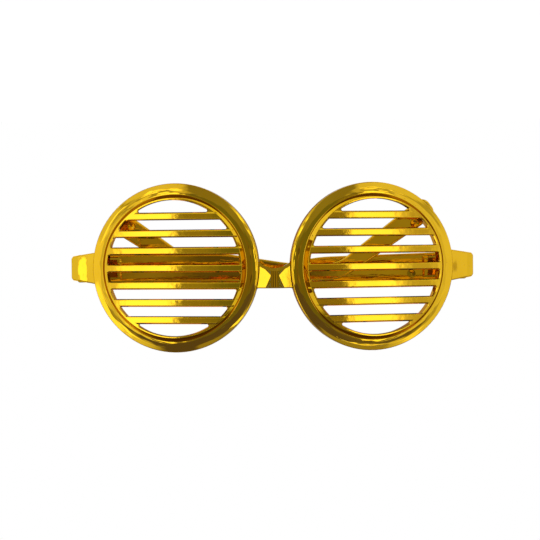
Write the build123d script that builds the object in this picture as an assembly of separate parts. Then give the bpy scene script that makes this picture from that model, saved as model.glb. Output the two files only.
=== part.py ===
from build123d import *
import math
import os

# Round party glasses with slats in place of lenses, drawn as worn.
# +X is the wearer's left, +Y the back and +Z up. Lengths are millimetres, angles degrees.
# The origin is the top of the nose arch, halfway through the bridge.

# The front as a whole
wrap_angle = 10.5
saddle_rise = 0.2        # the nose arch stands this far above the rims' centre line

# The rim's section: widths counted outward from the opening, heights forward from the flat back
opening_radius = 24.75
lip_width = 0.75
collar_foot_width = 1.4
band_width = 4.1
back_ledge_width = 0.85
rim_wall_height = 3.2
rim_edge_round = 0.5
band_height = 4.25
band_bulge_height = 0.28
crease_round = 0.35
collar_height = 2.5
collar_round = 0.2

# The slats, flush with the collar
slat_count = 7
slat_pitch = 6.3
slat_width = 2.87
slat_depth = 1.6
slat_corner = 0.5
slat_edge_bevel = 0.3

# The bridge: two flat wings with a bend between them
bridge_width = 10.68
bridge_height = 7.35
bridge_thickness = 2.2
bridge_bend_radius = 5.4
bridge_wing_angle = 13.0
bridge_root = 2.2        # how far it runs into the rim
nose_arch_radius = 8.5
nose_bevel = 1.1
bridge_brow_bevel = 0.35
bridge_foot_round = 0.8

# The end pieces that carry the hinges
end_length = 8.93
end_root_height = 11.5
end_tip_height = 8.0
end_face_height = 2.1    # the face stands this far in front of the rim's back plane
end_root = 2.5           # how far the end piece runs into the rim
end_bevel_length = 3.0
end_bevel_depth = 1.5
end_block_root = 0.6     # the block behind starts this far out from the rim
end_block_depth = 4.2
end_block_inset = 0.15
end_block_tip_height = 8.9
end_corner = 0.9
end_edge_round = 0.45
end_foot_round = 0.9

# The hinges
pin_radius = 0.7
pin_head_radius = 1.2
pin_head_height = 0.5
running_clearance = 0.05
lug_radius = 2.2
lug_thickness = 2.1
tongue_height = 3.8
tongue_gap = 0.2
swing_clearance = 0.3
stop_gap = 0.3
butt_reach = 2.9         # the temple runs this far forward of its pin

# The temples, drawn open; distances are counted back from the pin
temple_thickness = 2.8
temple_height = 10.5
blade_rise = 0.4         # the blade's middle stands this far above the hinge's
lug_skin = 1.2           # what is left of the temple outside the lugs
root_end = 53.8
neck_start = 78.5
neck_end = 96.3
neck_height = 6.5
taper_round = 60.0
ear_bend = 97.2
ear_bend_radius = 18.0
crook_radius = 12.0
hook_length = 44.6
hook_angle = 33.7
hook_end_width = 8.9
hook_end_angle = 35.5
hook_end_round = 3.4
temple_edge_round = 0.8
butt_corner = 1.0
pad_start = 3.4
pad_end = 14.2
pad_thickness = 1.0
pad_margin = 1.2
pad_slope_width = 0.7
dimple_radius = 1.0
dimple_depth = 0.15

# How the temples lie folded: each rests a little past or short of parallel, one over
# the other, and the loose right one has ridden up at its tip.
fold_past_angle = 1.4
fold_short_angle = 1.4
ride_up_angle = 1.7

overrun = 1.0
hair = 0.01

wrap_sine = math.sin(math.radians(wrap_angle))
wrap_cosine = math.cos(math.radians(wrap_angle))
wrap_tangent = wrap_sine / wrap_cosine

collar_radius = opening_radius + lip_width
crease_radius = collar_radius + collar_foot_width
rim_radius = crease_radius + band_width
lip_height = band_height + collar_height

# Where the bridge meets the rims, its back is flush with theirs.
bridge_reach = bridge_width / 2
bridge_front_radius = bridge_bend_radius + bridge_thickness / 2
bridge_back_radius = bridge_bend_radius - bridge_thickness / 2
wing_tangent = math.tan(math.radians(bridge_wing_angle))
bend_share = 1 / math.cos(math.radians(bridge_wing_angle)) - 1


def wing_y(x, apex_radius):
    """How far back the bridge's flat wing lies at x, on the face that bends at this radius."""
    return bridge_bend_radius - apex_radius * (1 + bend_share) + abs(x) * wing_tangent


bridge_back_y = wing_y(bridge_reach, bridge_back_radius)

rim_centre_x = bridge_reach + rim_radius * wrap_cosine
rim_centre_y = bridge_back_y + rim_radius * wrap_sine
rim_centre_z = -saddle_rise
rim_edge_x = rim_centre_x + rim_radius * wrap_cosine
half_width = rim_edge_x + end_length

temple_outer = lug_radius + swing_clearance + lug_skin
temple_inner = temple_outer - temple_thickness
hinge_x = half_width - temple_outer
hinge_z = rim_centre_z


def rim_plane_y(x, height):
    """Where the plane at this height in front of the left rim's back lies, at x."""
    return rim_centre_y + (x - rim_centre_x) * wrap_tangent - height / wrap_cosine


end_back_y = rim_plane_y(hinge_x, 0) + end_block_depth
hinge_y = end_back_y + stop_gap + butt_reach
lug_inside = tongue_height / 2 + tongue_gap
lug_outside = lug_inside + lug_thickness


def rim_and_slats():
    """One rim with its slats, lying on XY with the face up."""
    back_step = lip_height - slat_depth
    back_radius = opening_radius + back_ledge_width
    crest = (rim_radius - band_width / 2, (rim_wall_height + band_height) / 2 + band_bulge_height)
    outer_corner = (rim_radius, rim_wall_height)
    crease = (crease_radius, band_height)
    collar_top = (collar_radius, lip_height)
    outline = [
        Line((back_radius, 0), (rim_radius, 0)),
        Line((rim_radius, 0), outer_corner),
        ThreePointArc(outer_corner, crest, crease),
        Line(crease, collar_top),
        Line(collar_top, (0, lip_height)),
        Line((0, lip_height), (0, back_step)),
        Line((0, back_step), (back_radius, back_step)),
        Line((back_radius, back_step), (back_radius, 0)),
    ]
    section = make_face(outline)
    rounds = [
        (outer_corner, rim_edge_round),
        ((rim_radius, 0), rim_edge_round),
        (crease, crease_round),
        (collar_top, collar_round),
    ]
    for corner, radius in rounds:
        nearest = section.vertices().sort_by_distance((corner[0], corner[1], 0))[0]
        section = fillet(nearest, radius)
    body = revolve(Plane.XZ * section, axis=Axis.Z)
    windows = Circle(opening_radius)
    for row in range(slat_count):
        offset = (row - (slat_count - 1) / 2) * slat_pitch
        windows -= Pos(0, offset) * Rectangle(3 * opening_radius, slat_width)
    windows = fillet(windows.vertices(), slat_corner)
    body -= Pos(0, 0, back_step - overrun) * extrude(windows, slat_depth + 2 * overrun)
    lip_edges = body.edges().filter_by_position(Axis.Z, lip_height - hair, lip_height + hair)
    window_edges = [edge for edge in lip_edges if edge.length < math.pi * opening_radius]
    return chamfer(window_edges, slat_edge_bevel)


def bridge():
    """The bent bar between the rims, with the nose arch cut under it."""
    reach = bridge_reach + bridge_root
    far_y = bridge_back_y + bridge_thickness
    bar = Polygon(
        (-reach, wing_y(reach, bridge_front_radius)),
        (0, wing_y(0, bridge_front_radius)),
        (reach, wing_y(reach, bridge_front_radius)),
        (reach, wing_y(reach, bridge_back_radius)),
        (0, wing_y(0, bridge_back_radius)),
        (-reach, wing_y(reach, bridge_back_radius)),
        align=None,
    )
    for radius in (bridge_front_radius, bridge_back_radius):
        apex = bar.vertices().sort_by_distance((0, wing_y(0, radius), 0))[0]
        bar = fillet(apex, radius)
    behind_rim = Polygon(
        (bridge_reach, bridge_back_y),
        (reach, rim_plane_y(reach, 0)),
        (reach, far_y),
        (bridge_reach, far_y),
        align=None,
    )
    bar -= behind_rim
    bar -= mirror(behind_rim, Plane.YZ)
    bar = Pos(0, 0, -nose_arch_radius) * extrude(bar, nose_arch_radius + bridge_height)
    arch = Rot(90, 0, 0) * Cylinder(nose_arch_radius, 4 * far_y)
    bar -= Pos(0, 0, -nose_arch_radius) * arch
    bar = bar.solids().sort_by(Axis.Z)[-1]
    arch_edges = []
    brow_edges = []
    for edge in bar.edges():
        middle = edge @ 0.5
        from_axis = math.hypot(middle.X, middle.Z + nose_arch_radius)
        in_front = middle.Y < wing_y(middle.X, bridge_bend_radius) and abs(middle.X) < bridge_reach
        if in_front and abs(from_axis - nose_arch_radius) < hair:
            arch_edges.append(edge)
        if in_front and abs(middle.Z - bridge_height) < hair:
            brow_edges.append(edge)
    bar = chamfer(brow_edges, bridge_brow_bevel)
    arch_edges = [bar.edges().sort_by_distance(edge @ 0.5)[0] for edge in arch_edges]
    return chamfer(arch_edges, nose_bevel)


def in_rim_plane(part):
    """Carry a left-hand part, drawn on XY with its face up, to where the left rim stands."""
    where = Plane(
        origin=(rim_centre_x, rim_centre_y, rim_centre_z),
        x_dir=(wrap_cosine, wrap_sine, 0),
        z_dir=(wrap_sine, -wrap_cosine, 0),
    )
    return where * part


def end_plate():
    """The tapering plate beside the left rim, lying on XY: flared at its foot, bevelled at its tip."""
    tip_u = rim_radius + end_length / wrap_cosine
    root_u = rim_radius - end_root
    slope = (end_root_height - end_tip_height) / 2 / (tip_u - rim_radius)
    tip_half = end_tip_height / 2
    root_half = end_root_height / 2 + slope * end_root
    outline = Polygon(
        (root_u, -root_half),
        (tip_u, -tip_half),
        (tip_u, tip_half),
        (root_u, root_half),
        align=None,
    )
    outline = fillet(outline.vertices().sort_by(Axis.X)[-2:], end_corner)
    outline += Circle(rim_radius)
    outline = fillet(outline.vertices().sort_by(Axis.X)[:2], end_foot_round)
    outline &= Pos(2 * root_u, 0) * Rectangle(2 * root_u, end_root_height + 4 * end_foot_round)
    plate = extrude(outline, end_face_height)
    bevel = Polygon(
        (tip_u - end_bevel_length, end_face_height),
        (tip_u, end_face_height - end_bevel_depth),
        (2 * tip_u, end_face_height - end_bevel_depth),
        (2 * tip_u, 2 * end_face_height),
        (tip_u - end_bevel_length, 2 * end_face_height),
        align=None,
    )
    plate -= extrude(Plane.XZ * bevel, rim_radius, both=True)
    front_edges = []
    for face in plate.faces().sort_by(lambda face: face.normal_at().Z)[-2:]:
        for edge in face.edges():
            middle = edge @ 0.5
            in_rim = math.hypot(middle.X, middle.Y) < rim_radius + hair
            on_bevel_line = abs(middle.X - tip_u + end_bevel_length) < hair
            if not in_rim and not on_bevel_line:
                front_edges.append(edge)
    return fillet(front_edges, end_edge_round)


def end_block():
    """The wedge behind the left plate, with the two lugs that stand out from its back."""
    root_x = rim_edge_x + end_block_root
    block_x = hinge_x - lug_radius
    outer_x = half_width - end_block_inset
    plan = Polygon(
        (root_x, rim_plane_y(root_x, end_block_inset)),
        (outer_x, rim_plane_y(outer_x, end_block_inset)),
        (outer_x, end_back_y),
        (block_x, end_back_y),
        align=None,
    )
    root_half = end_root_height / 2
    tip_half = end_block_tip_height / 2
    sides = Polygon(
        (root_x, -root_half),
        (outer_x, -tip_half),
        (outer_x, tip_half),
        (root_x, root_half),
        align=None,
    )
    block = Pos(0, 0, hinge_z - root_half) * extrude(plan, end_root_height)
    block &= Pos(0, 0, hinge_z) * extrude(Plane.XZ * sides, 2 * end_back_y, both=True)
    outer_edges = block.edges().filter_by(Axis.Y).sort_by(Axis.X)[-2:]
    block = fillet(outer_edges, end_corner)
    lug = Pos(hinge_x, hinge_y) * Circle(lug_radius)
    neck = hinge_y - end_back_y + overrun
    lug += Pos(hinge_x, hinge_y - neck / 2) * Rectangle(2 * lug_radius, neck)
    for low in (lug_inside, -lug_outside):
        block += Pos(0, 0, hinge_z + low) * extrude(lug, lug_thickness)
    return block


def front_frame():
    """Rims, slats, bridge and end pieces, moulded in one."""
    left = in_rim_plane(rim_and_slats() + end_plate()) + end_block()
    left -= Pos(hinge_x, hinge_y, hinge_z) * Cylinder(pin_radius, 2 * lug_outside + 2 * overrun)
    whole = left + mirror(left, Plane.YZ) + bridge()
    foot_u = math.sqrt(rim_radius**2 - (bridge_height - rim_centre_z) ** 2)
    foot_x = rim_centre_x - foot_u * wrap_cosine
    foot_y = rim_plane_y(foot_x, bridge_thickness / 2)
    lines = whole.edges().filter_by(GeomType.LINE)
    feet = [lines.sort_by_distance((side * foot_x, foot_y, bridge_height))[0] for side in (-1, 1)]
    return fillet(feet, bridge_foot_round)


def hinge_pin():
    """The left pin, pressed into both lugs, with its head on the upper one."""
    stem = Pos(hinge_x, hinge_y, hinge_z) * Cylinder(pin_radius, 2 * lug_outside)
    head = Pos(hinge_x, hinge_y, hinge_z + lug_outside) * Cylinder(
        pin_head_radius, pin_head_height, align=(Align.CENTER, Align.CENTER, Align.MIN)
    )
    return stem + head


def temple(tip_rise):
    """The left temple, open. tip_rise turns its blade up about the pin, in degrees."""
    half = temple_height / 2
    bend = Vector(ear_bend, half)
    outer_end = bend + Vector(hook_length, 0).rotate(Axis.Z, -hook_angle)
    inner_end = outer_end + Vector(0, -hook_end_width).rotate(Axis.Z, -hook_end_angle)
    corners = [
        ((-butt_reach, half), butt_corner),
        (bend, ear_bend_radius),
        (outer_end, hook_end_round),
        (inner_end, hook_end_round),
        ((neck_end, half - neck_height), crook_radius),
        ((neck_start, half - neck_height), taper_round),
        ((root_end, -half), taper_round),
        ((-butt_reach, -half), butt_corner),
    ]
    points = [Vector(*place) for place, _ in corners]
    radii = [radius for _, radius in corners]
    outline = make_face(FilletPolyline(*points, radius=radii, close=True))
    side = Plane(origin=(hinge_x, hinge_y, hinge_z + blade_rise), x_dir=(0, 1, 0), z_dir=(1, 0, 0))
    blade = extrude(outline, temple_thickness)
    rims = blade.faces().filter_by(Axis.Z)
    blade = fillet(rims.edges(), temple_edge_round)
    dimple_at = (outer_end + inner_end) / 2 - Vector(hook_end_round, 0).rotate(Axis.Z, -hook_end_angle)
    blade -= Pos(dimple_at.X, dimple_at.Y) * Cylinder(dimple_radius, 2 * dimple_depth)
    pad_height = temple_height - 2 * pad_margin
    pad = Pos((pad_start + pad_end) / 2, 0) * Rectangle(pad_end - pad_start, pad_height)
    pad = extrude(pad, -pad_thickness)
    pad = chamfer(pad.faces().sort_by(Axis.Z)[0].edges(), pad_slope_width)
    blade += pad
    blade = side * Pos(0, 0, temple_inner) * Rot(0, 0, tip_rise) * blade
    around = Pos(hinge_x, hinge_y)
    pocket = around * Circle(lug_radius + swing_clearance)
    reach = butt_reach + overrun
    slot_width = 2 * (lug_radius + swing_clearance)
    pocket += Pos(hinge_x, hinge_y - reach / 2) * Rectangle(slot_width, reach)
    pocket_height = temple_height
    for low in (tongue_height / 2, -tongue_height / 2 - pocket_height):
        blade -= Pos(0, 0, hinge_z + low) * extrude(pocket, pocket_height)
    tongue = Pos(hinge_x, hinge_y, hinge_z) * Cylinder(lug_radius, tongue_height)
    bore = Pos(hinge_x, hinge_y, hinge_z) * Cylinder(pin_radius + running_clearance, 2 * tongue_height)
    return blade + tongue - bore


def folded(part, angle):
    """Turn a left-hand temple about its pin."""
    axis = Axis((hinge_x, hinge_y, hinge_z), (0, 0, 1))
    return part.rotate(axis, angle)


os.makedirs("parts", exist_ok=True)

nodes = {
    "front_frame": front_frame(),
    "temple_left": folded(temple(0), 90 + fold_past_angle),
    "temple_right": mirror(folded(temple(ride_up_angle), 90 - fold_short_angle), Plane.YZ),
    "hinge_pin_left": hinge_pin(),
    "hinge_pin_right": mirror(hinge_pin(), Plane.YZ),
}

for name, node in nodes.items():
    node.label = name
    export_step(node, f"parts/{name}.step")
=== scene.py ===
import math
import bpy
from mathutils import Matrix, Vector


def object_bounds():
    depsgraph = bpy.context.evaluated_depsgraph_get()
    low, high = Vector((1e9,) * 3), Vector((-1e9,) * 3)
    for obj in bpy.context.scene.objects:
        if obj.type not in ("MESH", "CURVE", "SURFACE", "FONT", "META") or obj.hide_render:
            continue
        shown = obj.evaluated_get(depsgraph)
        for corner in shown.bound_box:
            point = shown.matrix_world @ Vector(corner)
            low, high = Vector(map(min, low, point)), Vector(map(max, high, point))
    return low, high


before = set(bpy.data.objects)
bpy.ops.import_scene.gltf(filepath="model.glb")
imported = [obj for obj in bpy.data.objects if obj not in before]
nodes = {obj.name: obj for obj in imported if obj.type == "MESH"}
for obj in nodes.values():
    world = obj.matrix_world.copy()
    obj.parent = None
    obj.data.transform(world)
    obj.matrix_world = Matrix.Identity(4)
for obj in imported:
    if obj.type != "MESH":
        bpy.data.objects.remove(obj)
boundsAfterLoad = [list(corner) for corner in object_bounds()]
print("frame loaded", boundsAfterLoad)


def newMaterial(name):
    material = bpy.data.materials.new(name)
    material.use_nodes = True
    material.node_tree.nodes.clear()
    return material, material.node_tree


# Short ways to add and join shader nodes in one tree
class Graph:
    def __init__(self, tree):
        self.tree = tree

    def add(self, kind, **settings):
        node = self.tree.nodes.new(kind)
        for name, value in settings.items():
            setattr(node, name, value)
        return node

    def feed(self, value, socket):
        if isinstance(value, bpy.types.NodeSocket):
            self.tree.links.new(value, socket)
        else:
            socket.default_value = value

    def maths(self, operation, *values, clamp=False):
        node = self.add("ShaderNodeMath", operation=operation, use_clamp=clamp)
        for socket, value in zip(node.inputs, values):
            self.feed(value, socket)
        return node.outputs[0]

    def ease(self, value, low, high):
        node = self.add("ShaderNodeMapRange", interpolation_type="SMOOTHSTEP")
        self.feed(value, node.inputs["Value"])
        node.inputs["From Min"].default_value = low
        node.inputs["From Max"].default_value = high
        return node.outputs["Result"]

    def vector(self, x, y, z):
        node = self.add("ShaderNodeCombineXYZ")
        for socket, value in zip(node.inputs, (x, y, z)):
            self.feed(value, socket)
        return node.outputs[0]

    def split(self, vector):
        node = self.add("ShaderNodeSeparateXYZ")
        self.feed(vector, node.inputs[0])
        return node.outputs

    def noise(self, vector, scale, detail=2.0, roughness=0.5):
        node = self.add("ShaderNodeTexNoise")
        self.feed(vector, node.inputs["Vector"])
        self.feed(scale, node.inputs["Scale"])
        node.inputs["Detail"].default_value = detail
        node.inputs["Roughness"].default_value = roughness
        return node.outputs["Fac"]

    def blend(self, factor, first, second):
        node = self.add("ShaderNodeMix", data_type="RGBA")
        self.feed(factor, node.inputs["Factor"])
        self.feed(first, node.inputs["A"])
        self.feed(second, node.inputs["B"])
        return node.outputs["Result"]

    def placed(self, tree, values):
        node = self.add("ShaderNodeGroup", node_tree=tree)
        for name, value in values.items():
            self.feed(value, node.inputs[name])
        return node.outputs[0]

    def finish(self, shader, kind="ShaderNodeOutputMaterial"):
        self.feed(shader, self.add(kind).inputs["Surface"])


# Node groups shared by the gold of the front and of the temples
def newGroup(name, inputs, output, outputKind):
    tree = bpy.data.node_groups.new(name, "ShaderNodeTree")
    for socketName, kind in inputs:
        tree.interface.new_socket(name=socketName, in_out="INPUT", socket_type=kind)
    tree.interface.new_socket(name=output, in_out="OUTPUT", socket_type=outputKind)
    graph = Graph(tree)
    return tree, graph, graph.add("NodeGroupInput").outputs, graph.add("NodeGroupOutput").inputs


# Colour of the coating: patches a little thicker or thinner, with a few tiny pits
def buildFilmGroup(patchBand, pitBand):
    sockets = [
        ("Place", "NodeSocketVector"),
        ("Patch Size", "NodeSocketFloat"),
        ("Thick", "NodeSocketColor"),
        ("Thin", "NodeSocketColor"),
        ("Pit Size", "NodeSocketFloat"),
        ("Pit", "NodeSocketColor"),
    ]
    tree, graph, given, result = newGroup("goldFilm", sockets, "Color", "NodeSocketColor")
    patches = graph.noise(given["Place"], given["Patch Size"], detail=3)
    film = graph.blend(graph.ease(patches, *patchBand), given["Thick"], given["Thin"])
    specks = graph.noise(given["Place"], given["Pit Size"], detail=1)
    film = graph.blend(graph.ease(specks, *pitBand), film, given["Pit"])
    graph.feed(film, result["Color"])
    return tree


# Height of the coating: a slow ripple and a fine grain on top of the marks fed in
def buildReliefGroup():
    sockets = [
        ("Place", "NodeSocketVector"),
        ("Marks", "NodeSocketFloat"),
        ("Ripple Size", "NodeSocketFloat"),
        ("Ripple Height", "NodeSocketFloat"),
        ("Grain Size", "NodeSocketFloat"),
        ("Grain Height", "NodeSocketFloat"),
    ]
    tree, graph, given, result = newGroup("goldRelief", sockets, "Height", "NodeSocketFloat")
    height = given["Marks"]
    for name in ("Ripple", "Grain"):
        waves = graph.noise(given["Place"], given[name + " Size"], detail=1)
        waves = graph.maths("MULTIPLY", waves, given[name + " Height"])
        height = graph.maths("ADD", height, waves)
    graph.feed(height, result["Height"])
    return tree


# Gold vapour coating on glossy moulded plastic. The flat slats are smooth; the rims
# have flow marks that run round them, and the temples have marks along their length.
goldCoat = {
    "thick": (0.74, 0.43, 0.012, 1),
    "thin": (0.80, 0.49, 0.016, 1),
    "pit": (0.55, 0.26, 0.01, 1),
    "patchSize": 45.0,
    "patchBand": (0.35, 0.65),
    "pitSize": 1500.0,
    "pitBand": (0.74, 0.80),
    "roughness": 0.03,
    "edgeTint": (0.25, 0.16, 0.01, 1),
    "lacquer": 0.12,
    "rippleSize": 420.0,
    "rippleHeight": 0.0000055,
    "grainSize": 2600.0,
    "grainHeight": 0.0000008,
}

# Places on the front, across and up in metres from the nose arch. The rims' flow marks
# start and end between two radii each, and the bridge's hollow narrows above its foot.
frontMarks = {
    "lensCentre": (0.03582, -0.0002),
    "rimFrom": (0.0262, 0.0277),
    "rimTo": (0.0288, 0.0304),
    "flowRadial": 700.0,
    "flowTurn": 3.6,
    "flowHeight": 0.00014,
    "slatPitch": 0.0063,
    "slatFlat": 0.00088,
    "slatEdge": 0.00055,
    "slatSlope": 0.12,
    "slatWithin": 0.0250,
    "wingFoot": (0.00595, -0.0020),
    "wingSlope": 0.966,
    "wingInner": 0.0016,
    "wingTip": 0.0030,
    "wingReturn": 0.45,
    "wingTilt": 0.06,
    # Shallow marks in the end pieces: across, up, size and depth, which is negative
    # where the middle stands proud
    "dents": [
        (0.0735, 0.0004, 0.0046, -0.00009),
        (0.0686, -0.0030, 0.0040, 0.00005),
        (0.0686, 0.0036, 0.0036, 0.00005),
        (-0.0700, 0.0004, 0.0044, -0.00003),
    ],
}

# Marks on the temples: how fine the flow is across, through and up, and its height
templeMarks = {
    "flowScale": (60.0, 300.0, 700.0),
    "flowHeight": 0.000036,
    # Shallow dents: across, up, size and depth
    "dents": [
        (-0.0540, -0.0159, 0.0017, 0.00028),
        (0.0537, -0.0157, 0.0015, 0.00025),
        (0.0510, -0.0108, 0.0007, 0.00012),
        (0.0506, -0.0091, 0.0007, 0.00012),
        (-0.0532, 0.0032, 0.0018, 0.00010),
    ],
}


def dentHeight(graph, x, z, dents):
    total = 0.0
    for across, up, size, depth in dents:
        side = graph.maths("SUBTRACT", x, across)
        rise = graph.maths("SUBTRACT", z, up)
        span = graph.vector(side, 0.0, rise)
        away = graph.add("ShaderNodeVectorMath", operation="LENGTH")
        graph.feed(span, away.inputs[0])
        bowl = graph.ease(away.outputs["Value"], 0.0, size)
        total = graph.maths("MULTIPLY_ADD", bowl, depth, total)
    return total


def frontRelief(graph, x, z, marks):
    side = graph.maths("SUBTRACT", graph.maths("ABSOLUTE", x), marks["lensCentre"][0])
    rise = graph.maths("SUBTRACT", z, marks["lensCentre"][1])
    square = graph.maths("MULTIPLY", rise, rise)
    radius = graph.maths("SQRT", graph.maths("MULTIPLY_ADD", side, side, square))

    # Flow marks round the rims
    turn = graph.maths("ARCTAN2", rise, side)
    turned = graph.vector(
        graph.maths("MULTIPLY", radius, marks["flowRadial"]),
        graph.maths("MULTIPLY", graph.maths("COSINE", turn), marks["flowTurn"]),
        graph.maths("MULTIPLY", graph.maths("SINE", turn), marks["flowTurn"]),
    )
    inRim = graph.ease(radius, *marks["rimFrom"])
    beyond = graph.ease(radius, *marks["rimTo"])
    inRim = graph.maths("MULTIPLY", inRim, graph.maths("SUBTRACT", 1.0, beyond))
    flow = graph.noise(turned, 1.0, detail=1.5, roughness=0.45)
    height = graph.maths("MULTIPLY", graph.maths("MULTIPLY", flow, inRim), marks["flowHeight"])

    # The long edges of each slat fall away
    fromMiddle = graph.maths("PINGPONG", graph.maths("ABSOLUTE", rise), marks["slatPitch"] / 2)
    fall = graph.maths("SUBTRACT", fromMiddle, marks["slatFlat"])
    fall = graph.maths("MINIMUM", graph.maths("MAXIMUM", fall, 0.0), marks["slatEdge"])
    inLens = graph.maths("LESS_THAN", radius, marks["slatWithin"])
    fall = graph.maths("MULTIPLY", graph.maths("MULTIPLY", fall, inLens), -marks["slatSlope"])
    height = graph.maths("ADD", height, fall)

    # The hollow middle of the bridge, narrowest behind the tips of its two wings
    foot, low = marks["wingFoot"]
    line = graph.maths("MULTIPLY_ADD", graph.maths("SUBTRACT", z, low), -marks["wingSlope"], foot)
    line = graph.maths("MINIMUM", graph.maths("MAXIMUM", line, marks["wingInner"]), foot)
    past = graph.maths("SUBTRACT", z, marks["wingTip"])
    returning = graph.maths("MULTIPLY_ADD", past, marks["wingReturn"], marks["wingInner"])
    line = graph.maths("MAXIMUM", line, returning)
    hollow = graph.maths("MAXIMUM", graph.maths("SUBTRACT", line, graph.maths("ABSOLUTE", x)), 0.0)
    height = graph.maths("MULTIPLY_ADD", hollow, -marks["wingTilt"], height)
    return graph.maths("ADD", height, dentHeight(graph, x, z, marks["dents"]))


def templeRelief(graph, x, y, z, marks):
    across, through, up = marks["flowScale"]
    along = graph.vector(
        graph.maths("MULTIPLY", x, across),
        graph.maths("MULTIPLY", y, through),
        graph.maths("MULTIPLY", z, up),
    )
    flow = graph.noise(along, 1.0, detail=3, roughness=0.55)
    flow = graph.maths("MULTIPLY", flow, marks["flowHeight"])
    return graph.maths("ADD", flow, dentHeight(graph, x, z, marks["dents"]))


def goldMaterial(name, coat, marks, onFront):
    material, tree = newMaterial(name)
    graph = Graph(tree)
    place = graph.add("ShaderNodeTexCoord").outputs["Object"]
    x, y, z = graph.split(place)
    film = graph.placed(
        filmGroup,
        {
            "Place": place,
            "Patch Size": coat["patchSize"],
            "Thick": coat["thick"],
            "Thin": coat["thin"],
            "Pit Size": coat["pitSize"],
            "Pit": coat["pit"],
        },
    )
    marksHeight = frontRelief(graph, x, z, marks) if onFront else templeRelief(graph, x, y, z, marks)
    height = graph.placed(
        reliefGroup,
        {
            "Place": place,
            "Marks": marksHeight,
            "Ripple Size": coat["rippleSize"],
            "Ripple Height": coat["rippleHeight"],
            "Grain Size": coat["grainSize"],
            "Grain Height": coat["grainHeight"],
        },
    )
    bump = graph.add("ShaderNodeBump")
    bump.inputs["Strength"].default_value = 1
    bump.inputs["Distance"].default_value = 1
    graph.feed(height, bump.inputs["Height"])
    skin = graph.add("ShaderNodeBsdfPrincipled")
    skin.inputs["Metallic"].default_value = 1
    skin.inputs["Roughness"].default_value = coat["roughness"]
    skin.inputs["Specular Tint"].default_value = coat["edgeTint"]
    skin.inputs["Coat Weight"].default_value = coat["lacquer"]
    skin.inputs["Coat Roughness"].default_value = coat["roughness"]
    graph.feed(film, skin.inputs["Base Color"])
    graph.feed(bump.outputs["Normal"], skin.inputs["Normal"])
    graph.finish(skin.outputs["BSDF"])
    return material


# Plain drawn steel wire for the hinge pins
pinSteel = {"color": (0.55, 0.55, 0.57, 1), "roughness": (0.22, 0.38), "grain": 900.0}


def steelMaterial(settings):
    material, tree = newMaterial("pinSteel")
    graph = Graph(tree)
    place = graph.add("ShaderNodeTexCoord").outputs["Object"]
    shade = graph.add("ShaderNodeMapRange")
    shade.inputs["To Min"].default_value, shade.inputs["To Max"].default_value = settings["roughness"]
    graph.feed(graph.noise(place, settings["grain"]), shade.inputs["Value"])
    skin = graph.add("ShaderNodeBsdfPrincipled")
    skin.inputs["Metallic"].default_value = 1
    skin.inputs["Base Color"].default_value = settings["color"]
    graph.feed(shade.outputs["Result"], skin.inputs["Roughness"])
    graph.finish(skin.outputs["BSDF"])
    return material


filmGroup = buildFilmGroup(goldCoat["patchBand"], goldCoat["pitBand"])
reliefGroup = buildReliefGroup()
frontGold = goldMaterial("goldFront", goldCoat, frontMarks, True)
templeGold = goldMaterial("goldTemple", goldCoat, templeMarks, False)
steel = steelMaterial(pinSteel)
for name, node in nodes.items():
    isPin = name.startswith("hinge_pin")
    gold = frontGold if name == "front_frame" else templeGold
    node.data.materials.clear()
    node.data.materials.append(steel if isPin else gold)
    for polygon in node.data.polygons:
        polygon.use_smooth = True
print("materials done")

# Camera: the glasses lie upside down in the picture, so the camera is rolled half a turn
view = {
    "distance": 0.450,
    "fieldWidth": 0.196,
    "azimuth": 1.8,
    "elevation": -1.6,
    "roll": 179.48,
    "aim": (0.00174, 0.0, 0.00071),
    "sensor": 36,
    "clip": (0.01, 20),
}
swing = math.radians(view["azimuth"])
tilt = math.radians(view["elevation"])
camera = bpy.data.objects.new("photoCamera", bpy.data.cameras.new("photoCamera"))
bpy.context.scene.collection.objects.link(camera)
camera.data.sensor_width = view["sensor"]
camera.data.lens = view["sensor"] * view["distance"] / view["fieldWidth"]
camera.data.clip_start, camera.data.clip_end = view["clip"]
level = math.cos(tilt)
back = Vector((math.sin(swing) * level, -math.cos(swing) * level, math.sin(tilt)))
stand = Matrix.Translation(Vector(view["aim"]) + back * view["distance"])
facing = back.to_track_quat("Z", "Y").to_matrix().to_4x4()
camera.matrix_world = stand @ facing @ Matrix.Rotation(math.radians(view["roll"]), 4, "Z")
bpy.context.scene.camera = camera
print("camera done")

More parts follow.
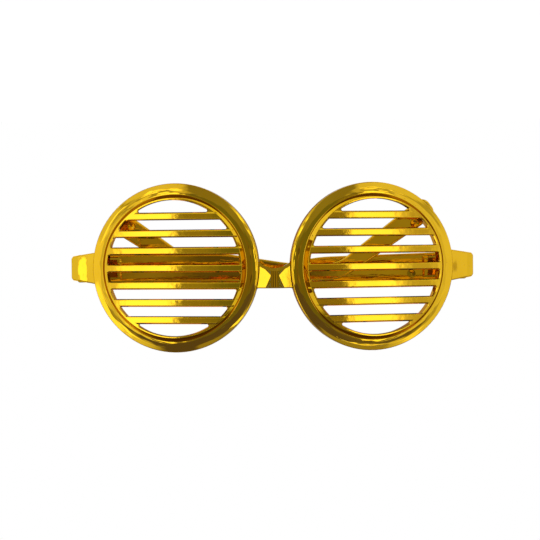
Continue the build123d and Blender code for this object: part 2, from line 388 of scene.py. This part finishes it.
# Studio: white surroundings, with a dim gap where the photographer stands. Angles are
# degrees: azimuth from straight ahead of the glasses towards +X, elevation upwards.
# Each patch: azimuth from and to, elevation from and to, softness, colour.
studio = {
    "plain": 0.92,
    "warpSize": 2.2,
    "warpAngle": 5.0,
    "warpFrom": (10, 18),
    "backdropFrom": (0.6, 0.75),
    "patches": [
        # Dim walls well to each side, and a dim ceiling and ground
        (-140, -112, -40, 50, 8, (0.16, 0.14, 0.14)),
        (118, 140, -40, 50, 8, (0.2, 0.18, 0.16)),
        (-181, 181, 46, 91, 12, (0.2, 0.18, 0.16)),
        (-181, 181, -91, -56, 10, (0.3, 0.28, 0.26)),
        # Grey cards between the lamps
        (24, 52, -20, -12, 4, (0.5, 0.48, 0.45)),
        (24, 62, -31, -26, 3, (0.5, 0.48, 0.45)),
        (-70, -24, -29, -15, 4, (0.55, 0.53, 0.5)),
        (30, 62, 12, 28, 6, (0.42, 0.4, 0.36)),
        (-64, -44, 12, 30, 6, (0.55, 0.53, 0.5)),
        # The photographer's side of the room
        (-22, 20, -62, 60, 6, (0.32, 0.31, 0.26)),
        (-25, 22, -13, 60, 5, (0.2, 0.21, 0.14)),
        (-46, 34, 6, 31, 9, (0.17, 0.15, 0.3)),
        (-20, 40, 5, 62, 9, (0.13, 0.11, 0.3)),
        (-46, 12, 40, 62, 6, (0.4, 0.38, 0.34)),
        # Soft walls beside the gap
        (42, 78, -12, 14, 4, (1.12, 1.12, 1.12)),
        (-80, -46, -12, 14, 4, (0.98, 0.98, 0.98)),
        (25, 43, -12, 13, 3, (0.78, 0.78, 0.78)),
        (26, 33, -12, 13, 3, (1.05, 1.05, 1.05)),
        (-47, -28, -12, 13, 3, (0.85, 0.85, 0.85)),
        (-36, -28, -12, 13, 3, (0.98, 0.98, 0.98)),
        # The gap as the slats see it, with a tall panel at each edge
        (-26.4, 23.5, -11, 11, 0.8, (0.19, 0.2, 0.12)),
        (-12, 13, -8, 9, 5, (0.22, 0.18, 0.1)),
        (21.8, 23.5, -11, 11, 1.6, (0.34, 0.31, 0.18)),
        (-26.4, -24.2, -11, 11, 1.2, (0.32, 0.28, 0.15)),
        (-7, -2, -5, 7, 3, (0.36, 0.32, 0.17)),
        (-1.5, 4.8, -5, 7, 2.5, (0.12, 0.1, 0.11)),
        (5.4, 7.6, -5, 7, 2, (0.3, 0.25, 0.14)),
        (23.6, 26.2, -12, 12, 0.5, (2.0, 2.0, 2.0)),
        (-28.7, -26.5, -12, 12, 0.5, (2.0, 2.0, 2.0)),
        (-30.4, -29.2, -12, 12, 0.7, (0.62, 0.58, 0.5)),
        # Lamps and bright cards higher and lower
        (22, 36, -27, -20, 2, (1.9, 1.9, 1.9)),
        (24, 43, -38, -31, 2, (1.8, 1.8, 1.8)),
        (-36, -24, -37, -30, 2, (1.7, 1.7, 1.7)),
        (-42, -26, -25, -20, 2, (1.5, 1.5, 1.5)),
        (48, 60, 24, 36, 3, (1.9, 1.9, 1.9)),
        (62, 74, 8, 34, 3, (1.6, 1.6, 1.6)),
        (50, 60, -26, -8, 3, (1.7, 1.7, 1.7)),
        (-36, -12, 33, 39, 2, (1.8, 1.8, 1.8)),
        (-64, -50, 30, 40, 3, (1.4, 1.4, 1.4)),
    ],
}
world = bpy.data.worlds.new("studio")
bpy.context.scene.world = world
world.use_nodes = True
world.node_tree.nodes.clear()
graph = Graph(world.node_tree)
direction = graph.add("ShaderNodeTexCoord").outputs["Generated"]
dx, dy, dz = graph.split(direction)
degree = 180 / math.pi
azimuth = graph.maths("MULTIPLY", graph.maths("ARCTAN2", dx, graph.maths("MULTIPLY", dy, -1.0)), degree)
elevation = graph.maths("MULTIPLY", graph.maths("ARCSINE", dz), degree)
warp = graph.maths("SUBTRACT", graph.noise(direction, studio["warpSize"]), 0.5)
warp = graph.maths("MULTIPLY", warp, studio["warpAngle"])
offLevel = graph.ease(graph.maths("ABSOLUTE", elevation), *studio["warpFrom"])
warp = graph.maths("MULTIPLY", warp, offLevel)
azimuth = graph.maths("ADD", azimuth, warp)
elevation = graph.maths("ADD", elevation, warp)
plain = studio["plain"]
room = (plain, plain, plain, 1)
for west, east, low, high, soft, color in studio["patches"]:
    half = soft / 2
    mask = graph.ease(azimuth, west - half, west + half)
    for value, edge, sense in ((azimuth, east, -1), (elevation, low, 1), (elevation, high, -1)):
        sided = graph.maths("MULTIPLY", value, float(sense))
        inside = graph.ease(sided, sense * edge - half, sense * edge + half)
        mask = graph.maths("MULTIPLY", mask, inside)
    room = graph.blend(mask, room, (*color, 1))
surround = graph.add("ShaderNodeBackground")
graph.feed(room, surround.inputs["Color"])
backdrop = graph.add("ShaderNodeBackground")
backdrop.inputs["Color"].default_value = (1, 1, 1, 1)
path = graph.add("ShaderNodeLightPath").outputs
mirrored = graph.maths("ADD", path["Is Glossy Ray"], path["Is Transmission Ray"], clamp=True)
mirrored = graph.maths("MULTIPLY", mirrored, graph.ease(dy, *studio["backdropFrom"]))
shown = graph.maths("ADD", path["Is Camera Ray"], mirrored, clamp=True)
mix = graph.add("ShaderNodeMixShader")
graph.feed(shown, mix.inputs[0])
graph.feed(surround.outputs[0], mix.inputs[1])
graph.feed(backdrop.outputs[0], mix.inputs[2])
graph.finish(mix.outputs[0], "ShaderNodeOutputWorld")

# Pale floor behind and below the glasses, lifted to white where it is seen
ground = {"drop": 0.30, "front": 0.04, "reach": 3.0, "paint": (0.9, 0.9, 0.9, 1), "lift": 0.62}
near, far = ground["front"], ground["reach"]
floorMesh = bpy.data.meshes.new("floor")
floorMesh.from_pydata([(-far, near, 0), (far, near, 0), (far, far, 0), (-far, far, 0)], [], [(0, 1, 2, 3)])
floor = bpy.data.objects.new("floor", floorMesh)
bpy.context.scene.collection.objects.link(floor)
floor.location.z = boundsAfterLoad[0][2] - ground["drop"]
floorMaterial, floorTree = newMaterial("paleFloor")
graph = Graph(floorTree)
paint = graph.add("ShaderNodeBsdfDiffuse")
paint.inputs["Color"].default_value = ground["paint"]
lift = graph.add("ShaderNodeEmission")
path = graph.add("ShaderNodeLightPath").outputs
mirrored = graph.maths("ADD", path["Is Glossy Ray"], path["Is Transmission Ray"])
shown = graph.maths("ADD", path["Is Camera Ray"], mirrored, clamp=True)
graph.feed(graph.maths("MULTIPLY", shown, ground["lift"]), lift.inputs["Strength"])
both = graph.add("ShaderNodeAddShader")
graph.feed(paint.outputs[0], both.inputs[0])
graph.feed(lift.outputs[0], both.inputs[1])
graph.finish(both.outputs[0])
floor.data.materials.append(floorMaterial)

bpy.context.scene.view_settings.view_transform = "Standard"
print("studio done")
